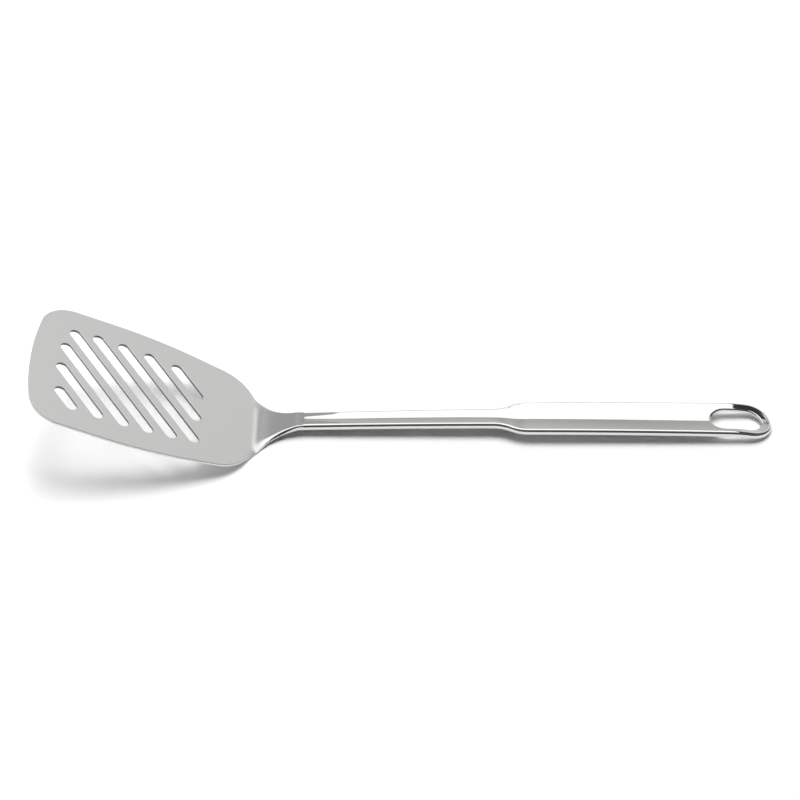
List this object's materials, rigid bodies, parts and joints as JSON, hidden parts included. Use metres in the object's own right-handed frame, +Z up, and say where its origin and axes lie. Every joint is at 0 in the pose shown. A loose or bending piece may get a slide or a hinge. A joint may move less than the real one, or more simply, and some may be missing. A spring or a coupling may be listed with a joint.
{
  "type": "slotted spatula",
  "caption": "Stainless steel slotted turner: tilted blade with slanted drain slots, narrow shank and dished handle with a hanging hole, for lifting and turning food in a pan.",
  "frame": {"origin": "middle of the footprint, on the surface that the tool lies on", "axes": "+X along the tool from the blade's tip to the tail, +Z up with the dished side of the handle facing up, +Y to the left of +X"},
  "size_m": [0.3324, 0.0818, 0.043],
  "materials": {
    "satin_steel": "fine satin, even in all directions",
    "polished_steel": "mirror polished",
    "plain_steel": "plain drawn bar, lightly polished"
  },
  "bodies": {
    "root": {"slotted_blade": "satin_steel", "handle_top_shell": "polished_steel", "handle_bottom_pan": "polished_steel", "shank_bar": "plain_steel"}
  },
  "joints": []
}
